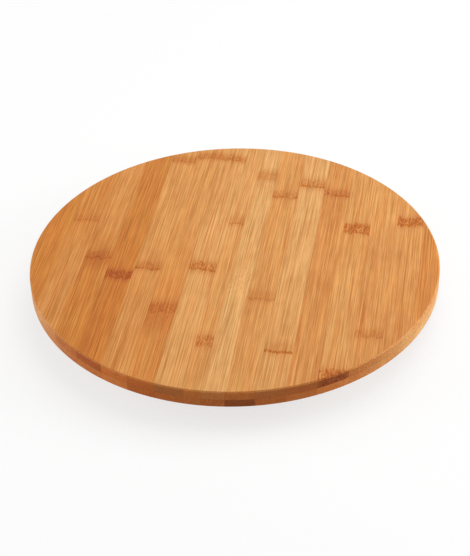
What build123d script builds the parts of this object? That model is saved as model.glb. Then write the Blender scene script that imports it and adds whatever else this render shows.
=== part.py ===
from build123d import *
import math
import os

# Lazy susan in millimetres, +Z up. The origin lies on the table under the turning axis.

# Board of two layers of bamboo strips, glued flat and cut to a disc
BOARD_D = 350.0
LAYER_T = 7.75
BOARD_EASE = 1.0
MIDDLE_SEAM_X = 1.0
LEFT_FILLER_W = 14.0
RIGHT_FILLER_W = 18.5
LEFT_RIM_W = 24.0
RIGHT_RIM_W = 17.5
SIDE_STRIPS = 6

# Base disc of one layer of strips, wide enough to carry the lower plate
BASE_MARGIN = 7.0
BASE_T = 10.0
BASE_EASE = 1.5
BASE_RIM_W = 29.5
BASE_INNER_STRIPS = 7

# Rubber feet stuck under the base, near its rim
FOOT_COUNT = 4
FOOT_D = 18.0
FOOT_T = 3.0
FOOT_EASE = 0.8
FOOT_RIM_GAP = 9.0

# Balls and their cage
BALL_D = 4.76
BALL_COUNT = 10
PITCH_R = 55.0
BALL_PLAY = 0.05
CAGE_T = 1.4
CAGE_WALL = 1.5
POCKET_CLEAR = 0.25

# Pressed-steel bearing plates, each with a V race for the balls
SHEET_T = 1.0
PRESS_ANGLE = 30.0
RACE_DEPTH = 1.4
RACE_LIFT = 0.1
SHOULDER_W = 1.6
FLANGE_RUN = 2.0
RIM_W = 4.0
LIP_LAP = 1.8
LIP_FLOOR_GAP = 0.35
LIP_RIM_GAP = 0.45
NECK_CLEAR = 0.4
PLATE_CORNERS = 4
PLATE_SIDE = 152.0
PLATE_CORNER_R = 14.0
HOLE_INSET = 7.5
LOWER_PLATE_TURN = 45.0

# Pan-head screws, the same ones in both plates, one in each corner
SCREW_D = 3.5
SCREW_L = 7.5
SCREW_POINT_L = 2.0
HEAD_D = 7.0
HEAD_H = 2.2
HEAD_EASE = 0.9
PLATE_HOLE_CLEAR = 0.4
PILOT_CLEAR = 0.05
PILOT_END_GAP = 0.4
DRIVER_HOLE_D = 12.0

# Press line of a race, along the middle of the sheet and measured up from the mounting face.
# A ball lies in the V with its play square to both sides.
press_tan = math.tan(math.radians(PRESS_ANGLE))
press_cos = math.cos(math.radians(PRESS_ANGLE))
flange_h = SHEET_T / 2
vertex_h = RACE_LIFT + SHEET_T / 2 / press_cos
ball_h = vertex_h + (SHEET_T / 2 + BALL_PLAY + BALL_D / 2) / press_cos
shoulder_h = vertex_h + RACE_DEPTH
race_half_w = RACE_DEPTH / press_tan
slope_top_r = PITCH_R + race_half_w + SHOULDER_W
slope_foot_r = slope_top_r + (shoulder_h - flange_h) / press_tan
flange_r = slope_foot_r + FLANGE_RUN

# Raised rim of the lower plate, and the neck and lip that hook under it
lip_h = LIP_FLOOR_GAP + SHEET_T / 2
rim_h = lip_h + SHEET_T + LIP_RIM_GAP
rim_bend_r = PITCH_R - (rim_h - vertex_h) / press_tan
rim_r = rim_bend_r - RIM_W
neck_r = rim_r - NECK_CLEAR - SHEET_T / 2
lip_r = rim_r + LIP_LAP

# Levels from the table up
base_z = FOOT_T
bearing_z = base_z + BASE_T
mid_z = bearing_z + ball_h
board_z = mid_z + ball_h
board_t = 2 * LAYER_T

# Screw places, near the corners of each plate
hole_pitch = PLATE_SIDE - 2 * HOLE_INSET
screw_circle_r = hole_pitch / math.sqrt(2)
pilot_r = SCREW_D / 2 + PILOT_CLEAR
pilot_depth = SCREW_L - SHEET_T + PILOT_END_GAP
base_r = screw_circle_r + DRIVER_HOLE_D / 2 + BASE_MARGIN

os.makedirs("parts", exist_ok=True)


# Places of a plate's screws, with the plate turned on its axis
def plate_corners(turn):
    return PolarLocations(screw_circle_r, PLATE_CORNERS, start_angle=turn + 180 / PLATE_CORNERS)


def write(piece, label):
    piece.part.label = label
    export_step(piece.part, f"parts/{label}.step")


# Seams that part a width into equal strips, both ends among them
def even_seams(first, last, count):
    return [first + (last - first) * step / count for step in range(count + 1)]


# A disc cut at its seams into strips that run along Y
def write_strips(disc, seams, z_low, thickness, prefix, digits):
    width = disc.part.bounding_box().size.Y
    ends = [-width / 2] + seams + [width / 2]
    for number, (left, right) in enumerate(zip(ends, ends[1:]), start=1):
        with BuildPart() as strip:
            add(disc.part)
            with Locations((left, 0, z_low)):
                Box(
                    right - left,
                    width,
                    thickness,
                    align=(Align.MIN, Align.CENTER, Align.MIN),
                    mode=Mode.INTERSECT,
                )
        write(strip, f"{prefix}_{number:0{digits}d}")


# Board, drilled from below for the upper plate's screws
with BuildPart() as board:
    with BuildSketch(Plane.XY.offset(board_z)):
        Circle(BOARD_D / 2)
    extrude(amount=board_t)
    chamfer(board.edges().filter_by(GeomType.CIRCLE), BOARD_EASE)
    with BuildSketch(Plane.XY.offset(board_z)):
        with plate_corners(0):
            Circle(pilot_r)
    extrude(amount=pilot_depth, mode=Mode.SUBTRACT)

left_seams = even_seams(LEFT_RIM_W - BOARD_D / 2, MIDDLE_SEAM_X - LEFT_FILLER_W, SIDE_STRIPS)
right_seams = even_seams(MIDDLE_SEAM_X + RIGHT_FILLER_W, BOARD_D / 2 - RIGHT_RIM_W, SIDE_STRIPS)
board_seams = left_seams + [MIDDLE_SEAM_X] + right_seams
write_strips(board, board_seams, board_z, LAYER_T, "back_strip", 2)
write_strips(board, board_seams, board_z + LAYER_T, LAYER_T, "face_strip", 2)

# Base disc, drilled for the lower plate's screws, with one hole to reach the upper screws through,
# in the middle of the last strip before the rim
inner_half_w = base_r - BASE_RIM_W
base_seams = even_seams(-inner_half_w, inner_half_w, BASE_INNER_STRIPS)
driver_x = (base_seams[-2] + base_seams[-1]) / 2
driver_y = -math.sqrt(screw_circle_r**2 - driver_x**2)

with BuildPart() as base:
    with BuildSketch(Plane.XY.offset(base_z)):
        Circle(base_r)
    extrude(amount=BASE_T)
    chamfer(base.edges().filter_by(GeomType.CIRCLE), BASE_EASE)
    with BuildSketch(Plane.XY.offset(bearing_z)):
        with plate_corners(LOWER_PLATE_TURN):
            Circle(pilot_r)
    extrude(amount=-pilot_depth, mode=Mode.SUBTRACT)
    with BuildSketch(Plane.XY.offset(base_z)):
        with Locations((driver_x, driver_y)):
            Circle(DRIVER_HOLE_D / 2)
    extrude(amount=BASE_T, mode=Mode.SUBTRACT)

write_strips(base, base_seams, base_z, BASE_T, "base_strip", 1)

# Feet
foot_ring_r = base_r - FOOT_RIM_GAP - FOOT_D / 2
for number, place in enumerate(PolarLocations(foot_ring_r, FOOT_COUNT), start=1):
    with BuildPart() as foot:
        with BuildSketch(Plane.XY):
            with Locations(place):
                Circle(FOOT_D / 2)
        extrude(amount=FOOT_T)
        chamfer(foot.edges().filter_by(GeomType.CIRCLE).sort_by(Axis.Z)[0], FOOT_EASE)
    write(foot, f"rubber_foot_{number}")

# Lower plate: square flange, dished race and raised rim, pressed from one sheet
with BuildPart() as lower_plate:
    with BuildSketch(Plane.XZ):
        with BuildLine():
            Polyline(
                (flange_r, bearing_z + flange_h),
                (slope_foot_r, bearing_z + flange_h),
                (slope_top_r, bearing_z + shoulder_h),
                (PITCH_R + race_half_w, bearing_z + shoulder_h),
                (PITCH_R, bearing_z + vertex_h),
                (rim_bend_r, bearing_z + rim_h),
                (rim_r, bearing_z + rim_h),
            )
        trace(line_width=SHEET_T)
    revolve(axis=Axis.Z)
    with BuildSketch(Plane.XY.offset(bearing_z)):
        RectangleRounded(PLATE_SIDE, PLATE_SIDE, PLATE_CORNER_R, rotation=LOWER_PLATE_TURN)
        Circle(flange_r, mode=Mode.SUBTRACT)
        with plate_corners(LOWER_PLATE_TURN):
            Circle(SCREW_D / 2 + PLATE_HOLE_CLEAR, mode=Mode.SUBTRACT)
    extrude(amount=SHEET_T)
write(lower_plate, "lower_plate")

# Upper plate: the same race turned over, with a neck through the lower plate and a lip under its rim
with BuildPart() as upper_plate:
    with BuildSketch(Plane.XZ):
        with BuildLine():
            Polyline(
                (flange_r, board_z - flange_h),
                (slope_foot_r, board_z - flange_h),
                (slope_top_r, board_z - shoulder_h),
                (PITCH_R + race_half_w, board_z - shoulder_h),
                (PITCH_R, board_z - vertex_h),
                (PITCH_R - race_half_w, board_z - shoulder_h),
                (neck_r, board_z - shoulder_h),
                (neck_r, bearing_z + lip_h),
                (lip_r, bearing_z + lip_h),
            )
        trace(line_width=SHEET_T)
    revolve(axis=Axis.Z)
    with BuildSketch(Plane.XY.offset(board_z)):
        RectangleRounded(PLATE_SIDE, PLATE_SIDE, PLATE_CORNER_R)
        Circle(flange_r, mode=Mode.SUBTRACT)
        with plate_corners(0):
            Circle(SCREW_D / 2 + PLATE_HOLE_CLEAR, mode=Mode.SUBTRACT)
    extrude(amount=-SHEET_T)
write(upper_plate, "upper_plate")

# Balls and cage, midway between the plates
pocket_r = BALL_D / 2 + POCKET_CLEAR
cage_half_w = pocket_r + CAGE_WALL

with BuildPart(Plane.XY.offset(mid_z)) as bearing_balls:
    with PolarLocations(PITCH_R, BALL_COUNT):
        Sphere(BALL_D / 2)
write(bearing_balls, "bearing_balls")

with BuildPart() as ball_cage:
    with BuildSketch(Plane.XY.offset(mid_z)):
        Circle(PITCH_R + cage_half_w)
        Circle(PITCH_R - cage_half_w, mode=Mode.SUBTRACT)
        with PolarLocations(PITCH_R, BALL_COUNT):
            Circle(pocket_r, mode=Mode.SUBTRACT)
    extrude(amount=CAGE_T / 2, both=True)
write(ball_cage, "ball_cage")

# One screw, head up, seated at the origin
with BuildPart() as screw:
    with BuildSketch(Plane.XZ):
        with BuildLine():
            Polyline(
                (0, HEAD_H),
                (HEAD_D / 2 - HEAD_EASE, HEAD_H),
                (HEAD_D / 2, HEAD_H - HEAD_EASE),
                (HEAD_D / 2, 0),
                (SCREW_D / 2, 0),
                (SCREW_D / 2, SCREW_POINT_L - SCREW_L),
                (0, -SCREW_L),
                close=True,
            )
        make_face()
    revolve(axis=Axis.Z)

with BuildPart(Plane.XY.offset(bearing_z + SHEET_T)) as lower_screws:
    with plate_corners(LOWER_PLATE_TURN):
        add(screw.part)
write(lower_screws, "lower_screws")

with BuildPart(Plane.XY.offset(board_z - SHEET_T)) as upper_screws:
    with plate_corners(0):
        add(screw.part, rotation=(180, 0, 0))
write(upper_screws, "upper_screws")
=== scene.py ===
import math
import bpy
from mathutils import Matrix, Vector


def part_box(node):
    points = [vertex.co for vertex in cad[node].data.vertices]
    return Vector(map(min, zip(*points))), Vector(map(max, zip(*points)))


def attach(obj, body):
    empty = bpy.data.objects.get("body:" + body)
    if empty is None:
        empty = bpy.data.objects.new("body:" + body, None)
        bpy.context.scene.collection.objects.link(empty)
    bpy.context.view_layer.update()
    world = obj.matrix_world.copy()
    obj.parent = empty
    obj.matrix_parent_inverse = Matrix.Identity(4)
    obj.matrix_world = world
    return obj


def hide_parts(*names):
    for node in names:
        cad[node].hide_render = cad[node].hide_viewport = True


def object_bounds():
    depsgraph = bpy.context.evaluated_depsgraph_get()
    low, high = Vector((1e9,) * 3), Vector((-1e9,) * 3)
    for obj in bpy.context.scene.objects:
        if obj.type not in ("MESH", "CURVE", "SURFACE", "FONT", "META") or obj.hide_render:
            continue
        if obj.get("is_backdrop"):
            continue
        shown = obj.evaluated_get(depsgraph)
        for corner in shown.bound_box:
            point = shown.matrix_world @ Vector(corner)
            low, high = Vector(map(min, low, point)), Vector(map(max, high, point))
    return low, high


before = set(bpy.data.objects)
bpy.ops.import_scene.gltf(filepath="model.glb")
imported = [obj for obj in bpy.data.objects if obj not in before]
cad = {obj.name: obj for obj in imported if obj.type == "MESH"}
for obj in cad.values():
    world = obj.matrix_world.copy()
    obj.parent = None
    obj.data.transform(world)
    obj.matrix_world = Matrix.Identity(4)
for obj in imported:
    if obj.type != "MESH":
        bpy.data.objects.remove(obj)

cadLow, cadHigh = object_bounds()
scene = bpy.context.scene
scene.view_settings.view_transform = "Standard"
bpy.ops.object.select_all(action="DESELECT")
print("frame:", len(cad), "nodes")

# camera where the picture was taken from, metres and degrees
view = {"place": (0.178613, -1.028704, 0.804039), "turn": (52.8789, 1.1758, 8.9602), "lens": 97.82}
bpy.ops.object.camera_add(location=view["place"], rotation=[math.radians(a) for a in view["turn"]])
camera = bpy.context.object
camera.data.lens = view["lens"]
camera.data.sensor_width = 36
scene.camera = camera
print("camera set")


# small helpers for the node trees
def newMaterial(name):
    mat = bpy.data.materials.new(name)
    mat.use_nodes = True
    return mat, mat.node_tree, mat.node_tree.nodes["Principled BSDF"]


def add(tree, kind, wires=None, **settings):
    node = tree.nodes.new(kind)
    for key, value in settings.items():
        setattr(node, key, value)
    for key, value in (wires or {}).items():
        if isinstance(value, bpy.types.NodeSocket):
            tree.links.new(value, node.inputs[key])
        else:
            node.inputs[key].default_value = value
    return node


def calc(tree, how, a, b=0.0, clamp=False):
    return add(tree, "ShaderNodeMath", {0: a, 1: b}, operation=how, use_clamp=clamp).outputs[0]


def total(tree, parts, start=0.0):
    # start plus each (socket - middle) * weight
    for socket, middle, weight in parts:
        lifted = calc(tree, "SUBTRACT", socket, middle)
        start = calc(tree, "ADD", calc(tree, "MULTIPLY", lifted, weight), start)
    return start


def step(tree, value, low, high):
    # 0 below low, 1 above high, eased between; the other way round if low is the larger
    node = add(tree, "ShaderNodeMapRange", {"Value": value}, interpolation_type="SMOOTHSTEP")
    node.inputs["From Min"].default_value = min(low, high)
    node.inputs["From Max"].default_value = max(low, high)
    node.inputs["To Min"].default_value = 0.0 if low < high else 1.0
    node.inputs["To Max"].default_value = 1.0 if low < high else 0.0
    return node.outputs[0]


def mix(tree, amount, a, b, how="MIX"):
    node = add(tree, "ShaderNodeMix", data_type="RGBA", blend_type=how)
    for index, value in ((0, amount), (6, a), (7, b)):
        if isinstance(value, bpy.types.NodeSocket):
            tree.links.new(value, node.inputs[index])
        else:
            node.inputs[index].default_value = value
    return node.outputs[2]


def stain(tree, amount, colour, tint):
    # colour times tint, as far as amount says
    return mix(tree, amount, colour, mix(tree, 1.0, colour, tint + (1,), "MULTIPLY"))


def stretch(tree, vector, across, along, turn=0.0):
    # one pattern cell is across mm wide and along mm long, lengthwise on Y
    node = add(tree, "ShaderNodeMapping", {"Vector": vector, "Scale": (1 / across, 1 / along, 1 / across)})
    node.inputs["Rotation"].default_value = (0, 0, turn)
    return node.outputs[0]


def noise(tree, vector, detail=2.0, rough=0.5, twist=0.0):
    wires = {"Vector": vector, "Scale": 1.0, "Detail": detail, "Roughness": rough, "Distortion": twist}
    return add(tree, "ShaderNodeTexNoise", wires).outputs[0]


def screen(r, g, b):
    # colour as seen on screen, 0-255, to the linear value a shader takes
    return tuple(((c / 255 + 0.055) / 1.055) ** 2.4 for c in (r, g, b)) + (1,)


mm = 1000  # in a metre
middle = 0.5  # where a noise averages


def mmPlace(tree):
    # the texture coordinates, and the place in millimetres
    coords = add(tree, "ShaderNodeTexCoord").outputs
    scaled = add(tree, "ShaderNodeMapping", {"Vector": coords["Object"], "Scale": (mm, mm, mm)})
    return coords, scaled.outputs[0]


# bamboo: the tones that the strips are sorted into, and what each mark does to them
bamboo = {
    "deep": (196, 117, 42),
    "amber": (200, 124, 48),
    "honey": (206, 132, 59),
    "gold": (209, 139, 69),
    "light": (213, 147, 77),
    "pale": (216, 153, 85),
    "cream": (219, 161, 95),
    "darkFibre": (0.76, 0.62, 0.44),
    "lightFibre": (1.20, 1.32, 1.50),
    "ruddy": (1.03, 0.98, 0.94),
    "olive": (0.98, 1.02, 1.04),
    "bundle": (0.74, 0.58, 0.40),
    "knuckle": (0.67, 0.35, 0.0),
    "mottle": (1.12, 1.2, 1.34),
    # rim tints by facing: end grain darker with painted shade, side grain paler with painted light
    "endGrainAndShade": (0.82, 0.54, 0.34),
    "sideGrainAndLight": (1.02, 1.24, 1.58),
    "glue": (0.66, 0.50, 0.36),
}

# patterns in it: cell width and length in mm, noise detail and roughness
patterns = {
    "sway": (14, 90, 1, 0.5),
    "long": (1.5, 110, 3, 0.6),
    "fine": (0.70, 58, 2, 0.6),
    "hair": (0.35, 26, 2, 0.6),
    "broad": (8, 420, 1, 0.5),
    "cloud": (26, 60, 2, 0.5),
    "patch": (9, 15, 2, 0.5),
    "hue": (5, 80, 2, 0.6),
    "wave": (7, 100000, 1, 0.5),
    "jag": (1.1, 100000, 2, 0.5),
    "gaps": (3.4, 9, 1, 0.5),
    "dash": (1.15, 4.2, 2, 0.65),
}
toneWeights = {"long": 0.7, "fine": 2.5, "hair": 1.0, "broad": 0.35, "cloud": 0.4, "patch": 0.4}
fibre = {"seedShift": (31.7, 173.3, 11.9), "sway": 1.0, "drift": 120.0, "driftReach": 80,
         "hue": (0.30, 0.70)}
bundle = {"cell": (1.3, 40), "dot": (0.36, 0.12), "among": (0.36, 0.60), "strength": 0.7}

# a knuckle's bends in mm, its reaches as shares of its height, and its strengths
knuckle = {
    "wave": 10.0, "jag": 9.0, "gaps": (0.30, 0.56), "fleck": (0.42, 0.57), "dent": -0.5,
    "blushReach": (1.3, 0.2), "blushDepth": 0.62,
    "speckReach": (0.74, 0.36), "speckFleck": 0.78, "speckGap": 0.25, "speckBase": 0.24,
    "lineDrop": 0.36, "lineJag": 6.0, "lineHalf": (2.8, 0.5),
    "lineDash": 1.8, "lineGap": 0.5, "lineBase": 0.8,
    "tailStart": 2.0, "tailFade": 0.15, "tailFine": 0.9, "tailDash": 0.8, "tailBase": 0.40,
}
mottle = {"cell": (3.2, 4.4), "detail": 2, "rough": 0.6, "twist": 0.6, "edge": (0.46, 0.60), "fade": 0.3}
rim = {"side": (0.55, 0.92), "end": (0.38, 0.90)}
glueLine = {"seam": 0.45, "seamDepth": 0.28, "layer": 0.35, "layerDepth": 0.45}
finish = {"rough": 0.52, "tone": -0.10, "ends": 0.10, "cloud": 0.15, "specular": 0.22,
          "bump": 0.35, "relief": 0.00008, "fine": 0.6, "bundles": -0.6}


def pattern(tree, vector, name):
    across, along, detail, rough = patterns[name]
    return noise(tree, stretch(tree, vector, across, along), detail, rough)


def bambooMaterial(node, look):
    mat, tree, skin = newMaterial("bamboo_" + node)
    low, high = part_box(node)
    coords, place = mmPlace(tree)
    x, y, z = add(tree, "ShaderNodeSeparateXYZ", {0: place}).outputs
    shift = tuple(look["seed"] * part for part in fibre["seedShift"])
    own = add(tree, "ShaderNodeVectorMath", {0: place, 1: shift}, operation="ADD").outputs[0]

    # fibres run along Y with a slight sway, from wide bands down to hair lines
    sway = total(tree, [(pattern(tree, own, "sway"), middle, fibre["sway"])])
    swayed = add(tree, "ShaderNodeCombineXYZ", {0: sway}).outputs[0]
    lines = add(tree, "ShaderNodeVectorMath", {0: own, 1: swayed}, operation="ADD").outputs[0]
    bands = {name: pattern(tree, lines, name) for name in ("long", "fine", "hair")}
    bands.update({name: pattern(tree, own, name) for name in ("broad", "cloud", "patch")})
    fine, cloud = bands["fine"], bands["cloud"]
    tone = total(tree, [(bands[name], middle, weight) for name, weight in toneWeights.items()], middle)
    topTone, footTone = look["tones"]
    colour = screen(*bamboo[topTone])
    if topTone != footTone:
        drift = total(tree, [(cloud, middle, fibre["drift"])], y)
        share = step(tree, drift, -fibre["driftReach"], fibre["driftReach"])
        colour = mix(tree, share, screen(*bamboo[footTone]), colour)
    tint = mix(tree, tone, bamboo["darkFibre"] + (1,), bamboo["lightFibre"] + (1,))
    colour = mix(tree, 1.0, colour, tint, "MULTIPLY")
    hue = step(tree, pattern(tree, own, "hue"), *fibre["hue"])
    hueTint = mix(tree, hue, bamboo["ruddy"] + (1,), bamboo["olive"] + (1,))
    colour = mix(tree, 1.0, colour, hueTint, "MULTIPLY")

    # vascular bundles: dark hair lines on the face, dots on the ends
    spread = stretch(tree, lines, *bundle["cell"])
    cells = add(tree, "ShaderNodeTexVoronoi", {"Vector": spread, "Scale": 1.0}).outputs["Distance"]
    bundles = calc(tree, "MULTIPLY", step(tree, cells, *bundle["dot"]), step(tree, fine, *bundle["among"]))
    colour = stain(tree, calc(tree, "MULTIPLY", bundles, bundle["strength"]), colour, bamboo["bundle"])

    # knuckles where the cane had its joints: speckle, a ragged line below it, a soft blush, a tail
    height = total(tree, [(fine, middle, finish["fine"]), (bundles, 0.0, finish["bundles"])])
    wave = pattern(tree, own, "wave")
    jag = pattern(tree, own, "jag")
    gaps = step(tree, pattern(tree, own, "gaps"), *knuckle["gaps"])
    dash = pattern(tree, own, "dash")
    fleck = step(tree, dash, *knuckle["fleck"])
    for spotY, tall, speckle, line, blush, tail in look["knuckles"]:
        bent = total(tree, [(wave, middle, knuckle["wave"])], calc(tree, "SUBTRACT", y, spotY))
        off = total(tree, [(jag, middle, knuckle["jag"])], bent)
        apart = calc(tree, "ABSOLUTE", off)
        soft = step(tree, apart, *(tall * reach for reach in knuckle["blushReach"]))
        mark = calc(tree, "MULTIPLY", soft, blush * knuckle["blushDepth"])
        inside = step(tree, apart, *(tall * reach for reach in knuckle["speckReach"]))
        specks = total(tree, [(fleck, 0.0, knuckle["speckFleck"]), (gaps, middle, knuckle["speckGap"])],
                       knuckle["speckBase"])
        brown = calc(tree, "MULTIPLY", inside, specks)
        mark = calc(tree, "MAXIMUM", mark, calc(tree, "MULTIPLY", brown, speckle))
        dropped = calc(tree, "ADD", bent, tall * knuckle["lineDrop"])
        lower = total(tree, [(jag, middle, knuckle["lineJag"])], dropped)
        ridge = step(tree, calc(tree, "ABSOLUTE", lower), *knuckle["lineHalf"])
        broken = total(tree, [(dash, middle, knuckle["lineDash"]), (gaps, middle, knuckle["lineGap"])],
                       knuckle["lineBase"])
        ridge = calc(tree, "MULTIPLY", ridge, broken)
        mark = calc(tree, "MAXIMUM", mark, calc(tree, "MULTIPLY", ridge, line))
        if tail:
            begins = step(tree, off, knuckle["tailStart"], -knuckle["tailStart"])
            fades = step(tree, off, -tail, -tail * knuckle["tailFade"])
            streak = total(tree, [(fine, middle, knuckle["tailFine"]), (dash, middle, knuckle["tailDash"])],
                           knuckle["tailBase"])
            below = calc(tree, "MULTIPLY", begins, fades)
            mark = calc(tree, "MAXIMUM", mark, calc(tree, "MULTIPLY", below, streak))
        colour = stain(tree, mark, colour, bamboo["knuckle"])
        height = total(tree, [(mark, 0.0, knuckle["dent"])], height)

    # pale mottle, like fish scales across the fibres
    for spotY, tall, amount in look.get("mottle", []):
        apart = calc(tree, "ABSOLUTE", calc(tree, "SUBTRACT", y, spotY))
        near = step(tree, apart, tall, tall * mottle["fade"])
        spread = stretch(tree, own, *mottle["cell"])
        flakes = noise(tree, spread, mottle["detail"], mottle["rough"], mottle["twist"])
        pale = calc(tree, "MULTIPLY", near, step(tree, flakes, *mottle["edge"]))
        colour = stain(tree, calc(tree, "MULTIPLY", pale, amount), colour, bamboo["mottle"])

    # on the rim the sawn ends go darker, partly as end grain that drinks more finish and partly as painted
    # shade; the long sides are painted paler, partly side grain and partly painted light as from the sides
    facing = add(tree, "ShaderNodeSeparateXYZ", {0: coords["Normal"]}).outputs
    # painted light: rim facing left and right lifted paler, on top of the side grain's own tone
    sides = step(tree, calc(tree, "ABSOLUTE", facing[0]), *rim["side"])
    colour = stain(tree, sides, colour, bamboo["sideGrainAndLight"])
    # painted shade: rim facing front and back darkened on top of the end grain's own darkening; each strip's
    # ends value sets how far
    ends = step(tree, calc(tree, "ABSOLUTE", facing[1]), *rim["end"])
    shadedEndTint = tuple(c * look.get("ends", 1.0) for c in bamboo["endGrainAndShade"])
    colour = stain(tree, ends, colour, shadedEndTint)

    # glue lines at the strip's two sides and, on the board, between the layers
    fromLeft = calc(tree, "SUBTRACT", x, low.x * mm)
    fromRight = calc(tree, "SUBTRACT", high.x * mm, x)
    seam = step(tree, calc(tree, "MINIMUM", fromLeft, fromRight), glueLine["seam"], 0.0)
    glue = calc(tree, "MULTIPLY", seam, glueLine["seamDepth"])
    if "layer" in look:
        layer = calc(tree, "ABSOLUTE", calc(tree, "SUBTRACT", z, look["layer"]))
        between = calc(tree, "MULTIPLY", step(tree, layer, glueLine["layer"], 0.0), glueLine["layerDepth"])
        glue = calc(tree, "MAXIMUM", glue, between)
    colour = stain(tree, glue, colour, bamboo["glue"])

    tree.links.new(colour, skin.inputs["Base Color"])
    shine = total(tree, [(tone, middle, finish["tone"]), (ends, 0.0, finish["ends"]),
                         (cloud, middle, finish["cloud"])], finish["rough"])
    tree.links.new(shine, skin.inputs["Roughness"])
    skin.inputs["Specular IOR Level"].default_value = finish["specular"]
    raised = {"Height": height, "Strength": finish["bump"], "Distance": finish["relief"]}
    tree.links.new(add(tree, "ShaderNodeBump", raised).outputs[0], skin.inputs["Normal"])
    return mat


def dress(node, mat):
    slots = cad[node].data.materials
    slots.clear()
    slots.append(mat)


# upper layer of the board, left to right, tones at the far and near end
# a knuckle is (y, height, speckle, line, blush, tail), mm and strengths
# ends: how dark a strip's sawn ends go on the rim, end grain with painted shade
faceStrips = {
    "face_strip_01": {"tones": ("amber", "amber"), "knuckles": []},
    "face_strip_02": {"tones": ("honey", "gold"), "knuckles": [(40, 8, 0.30, 0.50, 0.35, 0)]},
    "face_strip_03": {"tones": ("gold", "amber"), "ends": 0.95,
                      "knuckles": [(-12, 10, 0.60, 0.85, 0.5, 28)]},
    "face_strip_04": {"tones": ("amber", "deep"), "knuckles": [(-37, 11, 1.1, 0.80, 0.8, 0)], "ends": 0.85},
    "face_strip_05": {"tones": ("light", "gold"), "ends": 1.12,
                      "knuckles": [(-22, 9, 0.55, 0.90, 0.5, 0), (147, 9, 0.5, 0.7, 0.9, 0)]},
    "face_strip_06": {"tones": ("light", "honey"), "ends": 0.98,
                      "knuckles": [(-77, 13, 0.80, 0.35, 0.7, 50), (156, 9, 0.7, 0.7, 0.7, 0)]},
    "face_strip_07": {"tones": ("pale", "pale"), "ends": 0.72,
                      "knuckles": [(-16, 12, 0.85, 0.90, 0.7, 0), (155, 9, 0.7, 0.7, 0.7, 0)]},
    "face_strip_08": {"tones": ("pale", "light"), "ends": 0.98,
                      "knuckles": [(53, 11, 0.40, 0.65, 0.6, 0), (-115, 13, 0.85, 0.5, 0.5, 0)]},
    "face_strip_09": {"tones": ("cream", "cream"), "ends": 0.92,
                      "knuckles": [(128, 12, 0.65, 0.55, 0.7, 0)], "mottle": [(-32, 34, 0.6)]},
    "face_strip_10": {"tones": ("light", "light"), "ends": 0.95,
                      "knuckles": [(100, 10, 0.55, 0.80, 0.4, 0), (-51, 10, 0.30, 0.55, 0.45, 0)]},
    "face_strip_11": {"tones": ("cream", "pale"), "ends": 0.78,
                      "knuckles": [(121, 13, 0.70, 0.95, 0.7, 0), (-116, 12, 0.40, 1.1, 0.4, 0)]},
    "face_strip_12": {"tones": ("gold", "gold"), "knuckles": [(108, 10, 0.70, 0.90, 0.6, 0)], "ends": 0.80},
    "face_strip_13": {"tones": ("light", "light"), "ends": 0.66,
                      "knuckles": [(55, 14, 1.25, 0.6, 0.5, 0), (-143, 14, 1.1, 0.5, 0.6, 0)]},
    "face_strip_14": {"tones": ("light", "gold"), "knuckles": [(-89, 9, 0.45, 0.55, 0.4, 0)], "ends": 0.95},
    "face_strip_15": {"tones": ("light", "gold"), "knuckles": [(72, 13, 1.15, 0.9, 0.6, 0)]},
    "face_strip_16": {"tones": ("honey", "honey"), "knuckles": []},
}

# lower layer: its edge shows on the rim, its knuckles from below
# ends as on the upper layer: end grain darkening with painted shade
backStrips = {
    "back_strip_01": {"tones": ("honey", "honey"), "knuckles": [(30, 10, 0.6, 0.5, 0.4, 0)]},
    "back_strip_02": {"tones": ("light", "honey"), "knuckles": [(-60, 9, 0.5, 0.7, 0.4, 0)]},
    "back_strip_03": {"tones": ("honey", "gold"), "knuckles": [(90, 11, 0.8, 0.4, 0.5, 0)], "ends": 0.95},
    "back_strip_04": {"tones": ("pale", "light"), "knuckles": [(-118, 10, 0.4, 0.7, 0.4, 0)]},
    "back_strip_05": {"tones": ("light", "pale"), "knuckles": [(60, 10, 0.6, 0.4, 0.6, 26)], "ends": 1.1},
    "back_strip_06": {"tones": ("gold", "honey"), "ends": 0.92,
                      "knuckles": [(150, 9, 0.7, 0.5, 0.4, 0), (-130, 9, 0.4, 0.7, 0.4, 0)]},
    "back_strip_07": {"tones": ("gold", "gold"), "knuckles": [(135, 11, 0.9, 0.5, 0.6, 0)], "ends": 0.95},
    "back_strip_08": {"tones": ("light", "light"), "knuckles": [(-150, 10, 0.5, 0.6, 0.4, 0)], "ends": 0.92},
    "back_strip_09": {"tones": ("light", "gold"), "knuckles": [(-125, 9, 0.5, 0.8, 0.5, 0)], "ends": 0.92},
    "back_strip_10": {"tones": ("honey", "amber"), "knuckles": [(145, 10, 0.7, 0.5, 0.5, 0)], "ends": 0.60},
    "back_strip_11": {"tones": ("gold", "gold"), "knuckles": [(-140, 11, 0.6, 0.7, 0.5, 0)], "ends": 0.92},
    "back_strip_12": {"tones": ("pale", "light"), "knuckles": [(130, 9, 0.5, 0.6, 0.4, 0)], "ends": 0.98},
    "back_strip_13": {"tones": ("light", "pale"), "knuckles": [(-95, 12, 1.0, 0.5, 0.6, 0)], "ends": 1.1},
    "back_strip_14": {"tones": ("gold", "light"), "knuckles": [(100, 10, 0.5, 0.5, 0.6, 24)]},
    "back_strip_15": {"tones": ("honey", "gold"), "knuckles": [(-40, 9, 0.6, 0.6, 0.4, 0)]},
    "back_strip_16": {"tones": ("light", "light"), "knuckles": [(20, 8, 0.4, 0.5, 0.4, 0)]},
}

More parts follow.
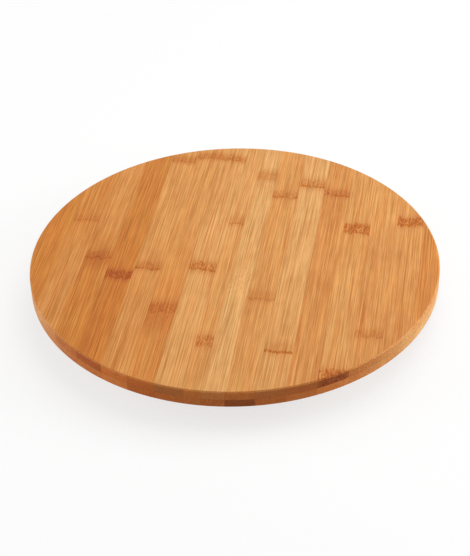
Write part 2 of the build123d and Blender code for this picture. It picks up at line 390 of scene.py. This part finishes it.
# base disc under the bearing
baseStrips = {
    "base_strip_1": {"tones": ("honey", "honey"), "knuckles": [(22, 9, 0.5, 0.6, 0.4, 0)]},
    "base_strip_2": {"tones": ("light", "gold"), "knuckles": [(-48, 10, 0.7, 0.5, 0.5, 0)]},
    "base_strip_3": {"tones": ("amber", "amber"), "knuckles": [(64, 9, 0.5, 0.5, 0.5, 20)]},
    "base_strip_4": {"tones": ("light", "light"), "knuckles": [(-20, 11, 0.9, 0.4, 0.6, 0)]},
    "base_strip_5": {"tones": ("gold", "light"), "knuckles": [(88, 9, 0.4, 0.8, 0.5, 0)]},
    "base_strip_6": {"tones": ("cream", "pale"), "knuckles": [(-75, 10, 0.8, 0.5, 0.5, 0)]},
    "base_strip_7": {"tones": ("gold", "honey"), "knuckles": [(34, 10, 0.5, 0.6, 0.4, 0)]},
    "base_strip_8": {"tones": ("light", "gold"), "knuckles": [(-12, 9, 0.6, 0.6, 0.5, 0)]},
    "base_strip_9": {"tones": ("amber", "honey"), "knuckles": [(45, 8, 0.4, 0.5, 0.4, 0)]},
}

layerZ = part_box("face_strip_01")[0].z * mm
for seed, (node, look) in enumerate([*faceStrips.items(), *backStrips.items(), *baseStrips.items()], 1):
    look["seed"] = seed
    if not node.startswith("base"):
        look["layer"] = layerZ
    dress(node, bambooMaterial(node, look))
print("bamboo dressed:", seed, "strips")


# galvanised sheet: zinc crystals a few mm across, each catching the light its own way
sheetLook = {"dark": (0.42, 0.44, 0.46, 1), "bright": (0.72, 0.73, 0.74, 1), "wobble": 0.6, "crystal": 0.28,
             "frost": 0.8, "smear": 22, "crystalTone": 0.6, "frostTone": 0.5, "smearTone": 0.5,
             "rough": 0.38, "crystalRough": 0.22, "frostRough": 0.2,
             "crystalLift": 0.5, "frostLift": 0.4, "bump": 0.3, "relief": 0.00004}


def sheetMaterial():
    mat, tree, skin = newMaterial("galvanised_sheet")
    place = mmPlace(tree)[1]
    bent = add(tree, "ShaderNodeVectorMath", {0: place}, operation="ADD")
    ripple = {"Vector": place, "Scale": sheetLook["wobble"], "Detail": 2.0}
    wobble = add(tree, "ShaderNodeTexNoise", ripple).outputs["Color"]
    tree.links.new(wobble, bent.inputs[1])
    grown = {"Vector": bent.outputs[0], "Scale": sheetLook["crystal"]}
    crystal = add(tree, "ShaderNodeTexVoronoi", grown).outputs["Color"]
    shade = add(tree, "ShaderNodeSeparateColor", {0: crystal}).outputs
    frost = noise(tree, stretch(tree, place, sheetLook["frost"], sheetLook["frost"]), 3, 0.6)
    smear = noise(tree, stretch(tree, place, sheetLook["smear"], sheetLook["smear"]), 2)
    tone = total(tree, [(shade[0], middle, sheetLook["crystalTone"]),
                        (frost, middle, sheetLook["frostTone"]),
                        (smear, middle, sheetLook["smearTone"])], middle)
    colour = mix(tree, tone, sheetLook["dark"], sheetLook["bright"])
    tree.links.new(colour, skin.inputs["Base Color"])
    rough = total(tree, [(shade[1], middle, sheetLook["crystalRough"]),
                         (frost, middle, sheetLook["frostRough"])], sheetLook["rough"])
    tree.links.new(rough, skin.inputs["Roughness"])
    skin.inputs["Metallic"].default_value = 1.0
    height = total(tree, [(shade[2], 0.0, sheetLook["crystalLift"]), (frost, 0.0, sheetLook["frostLift"])])
    raised = {"Height": height, "Strength": sheetLook["bump"], "Distance": sheetLook["relief"]}
    bump = add(tree, "ShaderNodeBump", raised)
    tree.links.new(bump.outputs[0], skin.inputs["Normal"])
    return mat


# bright steel of the balls, with faint grease smears
ballLook = {"dark": (0.58, 0.58, 0.59, 1), "bright": (0.80, 0.80, 0.81, 1), "smear": 1.6, "twist": 0.8,
            "rough": 0.14, "smearRough": 0.3}


def ballMaterial():
    mat, tree, skin = newMaterial("ball_steel")
    place = mmPlace(tree)[1]
    spread = stretch(tree, place, ballLook["smear"], ballLook["smear"])
    smear = noise(tree, spread, 3, 0.6, ballLook["twist"])
    tree.links.new(mix(tree, smear, ballLook["dark"], ballLook["bright"]), skin.inputs["Base Color"])
    rough = total(tree, [(smear, middle, ballLook["smearRough"])], ballLook["rough"])
    tree.links.new(rough, skin.inputs["Roughness"])
    skin.inputs["Metallic"].default_value = 1.0
    return mat


# moulded nylon of the cage, milky with a fine mould texture
nylonLook = {"dark": (0.66, 0.62, 0.52, 1), "bright": (0.82, 0.80, 0.73, 1), "flow": 9, "twist": 1.2,
             "grain": 0.35, "rough": 0.46, "grainRough": 0.25, "flowRough": 0.15,
             "bump": 0.25, "relief": 0.00004}


def nylonMaterial():
    mat, tree, skin = newMaterial("cage_nylon")
    place = mmPlace(tree)[1]
    spread = stretch(tree, place, nylonLook["flow"], nylonLook["flow"])
    flow = noise(tree, spread, 2, 0.5, nylonLook["twist"])
    grain = noise(tree, stretch(tree, place, nylonLook["grain"], nylonLook["grain"]), 2, 0.6)
    tree.links.new(mix(tree, flow, nylonLook["dark"], nylonLook["bright"]), skin.inputs["Base Color"])
    rough = total(tree, [(grain, middle, nylonLook["grainRough"]), (flow, middle, nylonLook["flowRough"])],
                  nylonLook["rough"])
    tree.links.new(rough, skin.inputs["Roughness"])
    raised = {"Height": grain, "Strength": nylonLook["bump"], "Distance": nylonLook["relief"]}
    bump = add(tree, "ShaderNodeBump", raised)
    tree.links.new(bump.outputs[0], skin.inputs["Normal"])
    return mat


# black rubber of the feet, chalky in places
rubberLook = {"dark": (0.012, 0.012, 0.013, 1), "chalky": (0.05, 0.049, 0.047, 1), "chalk": 3, "grit": 0.3,
              "tone": 0.4, "chalkTone": 1.0, "gritTone": 0.7,
              "rough": 0.74, "chalkRough": 0.3, "gritRough": 0.2, "bump": 0.4, "relief": 0.00006}


def rubberMaterial():
    mat, tree, skin = newMaterial("foot_rubber")
    place = mmPlace(tree)[1]
    chalk = noise(tree, stretch(tree, place, rubberLook["chalk"], rubberLook["chalk"]), 4, 0.65)
    grit = noise(tree, stretch(tree, place, rubberLook["grit"], rubberLook["grit"]), 2, 0.6)
    tone = total(tree, [(chalk, middle, rubberLook["chalkTone"]), (grit, middle, rubberLook["gritTone"])],
                 rubberLook["tone"])
    colour = mix(tree, tone, rubberLook["dark"], rubberLook["chalky"])
    tree.links.new(colour, skin.inputs["Base Color"])
    rough = total(tree, [(chalk, middle, rubberLook["chalkRough"]), (grit, middle, rubberLook["gritRough"])],
                  rubberLook["rough"])
    tree.links.new(rough, skin.inputs["Roughness"])
    raised = {"Height": grit, "Strength": rubberLook["bump"], "Distance": rubberLook["relief"]}
    bump = add(tree, "ShaderNodeBump", raised)
    tree.links.new(bump.outputs[0], skin.inputs["Normal"])
    return mat


# zinc plate on the screws, a little yellow in the worn spots
zincLook = {"worn": (0.46, 0.45, 0.42, 1), "bright": (0.76, 0.76, 0.75, 1), "haze": 1.8,
            "scratch": (0.12, 2.4), "scratchTurn": 0.5, "rough": 0.30,
            "hazeRough": 0.25, "scratchRough": 0.3, "bump": 0.2, "relief": 0.00002}


def zincMaterial():
    mat, tree, skin = newMaterial("screw_zinc")
    place = mmPlace(tree)[1]
    haze = noise(tree, stretch(tree, place, zincLook["haze"], zincLook["haze"]), 3, 0.6)
    scratch = noise(tree, stretch(tree, place, *zincLook["scratch"], zincLook["scratchTurn"]), 2, 0.6)
    tree.links.new(mix(tree, haze, zincLook["worn"], zincLook["bright"]), skin.inputs["Base Color"])
    rough = total(tree, [(haze, middle, zincLook["hazeRough"]), (scratch, middle, zincLook["scratchRough"])],
                  zincLook["rough"])
    tree.links.new(rough, skin.inputs["Roughness"])
    skin.inputs["Metallic"].default_value = 1.0
    raised = {"Height": scratch, "Strength": zincLook["bump"], "Distance": zincLook["relief"]}
    bump = add(tree, "ShaderNodeBump", raised)
    tree.links.new(bump.outputs[0], skin.inputs["Normal"])
    return mat


sheet = sheetMaterial()
dress("upper_plate", sheet)
dress("lower_plate", sheet)
dress("ball_cage", nylonMaterial())
dress("bearing_balls", ballMaterial())
rubber = rubberMaterial()
zinc = zincMaterial()
print("hardware dressed")


# edit-mode helpers: pick by a test on the vertex, edge or face
def pick(obj, kind, test):
    bpy.ops.object.mode_set(mode="EDIT")
    bpy.ops.mesh.select_mode(type=kind)
    bpy.ops.mesh.select_all(action="DESELECT")
    bpy.ops.object.mode_set(mode="OBJECT")
    mesh = obj.data
    for part in {"VERT": mesh.vertices, "EDGE": mesh.edges, "FACE": mesh.polygons}[kind]:
        part.select = test(mesh, part)
    bpy.ops.object.mode_set(mode="EDIT")


def edgeAt(level):
    # edges lying flat at this height
    def test(mesh, edge):
        return all(abs(mesh.vertices[v].co.z - level) < 1e-6 for v in edge.vertices)
    return test


def faceAt(level, up):
    # the flat face at this height, looking up (1) or down (-1)
    def test(mesh, face):
        return abs(face.center.z - level) < 1e-6 and face.normal.z * up > 0.9
    return test


def settle(obj):
    # place goes into the mesh and the object back to the origin
    bpy.ops.object.select_all(action="DESELECT")
    obj.select_set(True)
    bpy.context.view_layer.objects.active = obj
    bpy.ops.object.transform_apply(location=True, rotation=True, scale=True)


# rubber foot: rounded underneath, with a shallow hollow
foot = {"radius": 0.009, "thick": 0.003, "round": 0.0008, "hollow": 0.0022, "deep": 0.0004}


def modelFoot():
    bpy.ops.mesh.primitive_cylinder_add(vertices=64, radius=foot["radius"], depth=foot["thick"],
                                        location=(0, 0, foot["thick"] / 2))
    obj = bpy.context.object
    settle(obj)
    pick(obj, "EDGE", edgeAt(0))
    bpy.ops.mesh.bevel(offset=foot["round"], segments=5)
    pick(obj, "EDGE", edgeAt(foot["thick"]))
    bpy.ops.mesh.bevel(offset=foot["round"] * 0.3, segments=2)
    pick(obj, "FACE", faceAt(0, -1))
    bpy.ops.mesh.inset(thickness=foot["hollow"])
    bpy.ops.mesh.inset(thickness=foot["deep"])
    bpy.ops.transform.translate(value=(0, 0, foot["deep"]))
    bpy.ops.object.mode_set(mode="OBJECT")
    bpy.ops.object.shade_smooth_by_angle(angle=math.radians(40))
    obj.data.materials.append(rubber)
    return obj


def copyOf(obj, name):
    twin = bpy.data.objects.new(name, obj.data.copy())
    scene.collection.objects.link(twin)
    return twin


footModel = modelFoot()
for number in range(1, 5):
    node = f"rubber_foot_{number}"
    low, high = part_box(node)
    pad = copyOf(footModel, f"foot_pad_{number}")
    pad.location = ((low.x + high.x) / 2, (low.y + high.y) / 2, low.z)
    settle(pad)
    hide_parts(node)
    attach(pad, "base")
bpy.data.objects.remove(footModel)
print("feet modelled")


# pan-head screw: domed head, cross recess, tapered point; head up, seat at z = 0
screw = {"head": 0.0035, "tall": 0.0022, "dome": 0.0009, "shank": 0.00175, "long": 0.0075, "point": 0.002,
         "slot": 0.00095, "reach": 0.0042, "deep": 0.0013,
         "taper": 0.55, "tip": 0.12, "turns": (14, 63, 38, 81)}


def modelCross():
    # two crossed blades, narrower at their foot
    blades = []
    for turn in (0, 90):
        bpy.ops.mesh.primitive_cube_add(size=1, location=(0, 0, screw["tall"]),
                                        rotation=(0, 0, math.radians(turn)),
                                        scale=(screw["slot"], screw["reach"], 2 * screw["deep"]))
        blade = bpy.context.object
        settle(blade)
        pick(blade, "FACE", lambda mesh, face: face.normal.z < -0.9)
        bpy.ops.transform.resize(value=(screw["taper"], screw["taper"], 1))
        bpy.ops.object.mode_set(mode="OBJECT")
        blades.append(blade)
    return blades


def modelScrew():
    bpy.ops.mesh.primitive_cylinder_add(vertices=40, radius=screw["head"], depth=screw["tall"],
                                        location=(0, 0, screw["tall"] / 2))
    obj = bpy.context.object
    settle(obj)
    pick(obj, "EDGE", edgeAt(screw["tall"]))
    bpy.ops.mesh.bevel(offset=screw["dome"], segments=5)
    pick(obj, "FACE", faceAt(0, -1))
    bpy.ops.mesh.inset(thickness=screw["head"] - screw["shank"])
    straight = screw["point"] - screw["long"]
    bpy.ops.mesh.extrude_region_move(TRANSFORM_OT_translate={"value": (0, 0, straight)})
    bpy.ops.mesh.extrude_region_move(TRANSFORM_OT_translate={"value": (0, 0, -screw["point"])})
    bpy.ops.transform.resize(value=(screw["tip"], screw["tip"], 1))
    bpy.ops.object.mode_set(mode="OBJECT")
    for blade in modelCross():
        bpy.ops.object.select_all(action="DESELECT")
        obj.select_set(True)
        bpy.context.view_layer.objects.active = obj
        cut = obj.modifiers.new("recess", "BOOLEAN")
        cut.operation = "DIFFERENCE"
        cut.solver = "EXACT"
        cut.object = blade
        bpy.ops.object.modifier_apply(modifier=cut.name)
        bpy.data.objects.remove(blade)
    bpy.ops.object.shade_smooth_by_angle(angle=math.radians(32))
    obj.data.materials.clear()
    obj.data.materials.append(zinc)
    return obj


def placeScrews(name, spots, headDown, seat):
    # four copies, each stopped at its own turn, joined into one piece
    copies = []
    for (spotX, spotY), turn in zip(spots, screw["turns"]):
        one = copyOf(screwModel, name)
        one.rotation_euler = (math.pi if headDown else 0, 0, math.radians(turn))
        one.location = (spotX, spotY, seat)
        settle(one)
        copies.append(one)
    bpy.ops.object.select_all(action="DESELECT")
    for one in copies:
        one.select_set(True)
    bpy.context.view_layer.objects.active = copies[0]
    bpy.ops.object.join()
    return bpy.context.object


screwModel = modelScrew()
upperLow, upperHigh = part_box("upper_screws")
lowerLow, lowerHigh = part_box("lower_screws")
inset = upperHigh.x - screw["head"]
reach = lowerHigh.x - screw["head"]
upper = placeScrews("board_screws", [(inset, inset), (-inset, inset), (-inset, -inset), (inset, -inset)],
                    True, upperLow.z + screw["tall"])
lower = placeScrews("base_screws", [(reach, 0), (0, reach), (-reach, 0), (0, -reach)],
                    False, lowerHigh.z - screw["tall"])
bpy.data.objects.remove(screwModel)
for piece, node, body in ((upper, "upper_screws", "turntable"), (lower, "lower_screws", "base")):
    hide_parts(node)
    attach(piece, body)
print("screws modelled")


# studio: pale sweep that reads white, soft lamps right, left and over the back
studio = {"floor": 0.80, "shown": 0.97, "white": 0.72, "ambient": 0.30, "sweep": 12, "fade": (0.30, 1.10),
          "pulp": 0.04, "pulpTint": (0.9, 0.9, 0.9)}
lamps = {
    "overhead": {"place": (0.35, 0.55, 1.45), "size": 1.5, "watts": 14.5},
    "right": {"place": (1.22, 0.24, 0.36), "size": 0.9, "watts": 13},
    "left": {"place": (-1.28, -0.25, 0.38), "size": 0.9, "watts": 10},
}


def shownRay(tree):
    # 1 for what the lens, a reflection or glass sees
    ray = add(tree, "ShaderNodeLightPath").outputs
    seen = calc(tree, "MAXIMUM", ray["Is Camera Ray"], ray["Is Glossy Ray"])
    return calc(tree, "MAXIMUM", seen, ray["Is Transmission Ray"])


def makeFloor():
    bpy.ops.mesh.primitive_plane_add(size=studio["sweep"], location=(0, 0, cadLow.z))
    floor = bpy.context.object
    floor.name = "studio_floor"
    mat, tree, skin = newMaterial("floor_paper")
    place = add(tree, "ShaderNodeTexCoord").outputs["Object"]
    pulp = add(tree, "ShaderNodeTexNoise", {"Vector": place, "Scale": 220.0, "Detail": 3.0}).outputs[0]
    seen = shownRay(tree)
    paper = mix(tree, seen, (studio["floor"],) * 3 + (1,), (studio["shown"],) * 3 + (1,))
    flecked = stain(tree, calc(tree, "MULTIPLY", pulp, studio["pulp"]), paper, studio["pulpTint"])
    tree.links.new(flecked, skin.inputs["Base Color"])
    skin.inputs["Roughness"].default_value = 0.9
    skin.inputs["Specular IOR Level"].default_value = 0.1
    glow = add(tree, "ShaderNodeEmission", {"Color": (1, 1, 1, 1), "Strength": 1.0})
    # plain white further out, the shadow stays round the object
    away = add(tree, "ShaderNodeVectorMath", {0: place}, operation="LENGTH").outputs["Value"]
    white = total(tree, [(step(tree, away, *studio["fade"]), 0.0, 1.0 - studio["white"])], studio["white"])
    share = calc(tree, "MULTIPLY", seen, white)
    blend = add(tree, "ShaderNodeMixShader", {0: share, 1: skin.outputs[0], 2: glow.outputs[0]})
    tree.links.new(blend.outputs[0], tree.nodes["Material Output"].inputs["Surface"])
    floor.data.materials.append(mat)
    floor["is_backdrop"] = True


def makeWorld():
    world = bpy.data.worlds.new("studio_world")
    scene.world = world
    world.use_nodes = True
    tree = world.node_tree
    ground = tree.nodes["Background"]
    ground.inputs["Color"].default_value = (1, 1, 1, 1)
    lift = calc(tree, "MULTIPLY", shownRay(tree), 1.0 - studio["ambient"])
    tree.links.new(calc(tree, "ADD", lift, studio["ambient"]), ground.inputs["Strength"])


def makeLamp(name, lamp):
    bpy.ops.object.light_add(type="AREA", location=lamp["place"])
    light = bpy.context.object
    light.name = "lamp_" + name
    light.data.size = lamp["size"]
    light.data.energy = lamp["watts"]
    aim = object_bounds()[1].z / 2
    away = light.location.copy()
    away.z -= aim
    light.rotation_euler = away.to_track_quat("Z", "Y").to_euler()


makeFloor()
makeWorld()
for lampName, lamp in lamps.items():
    makeLamp(lampName, lamp)
print("studio lit")
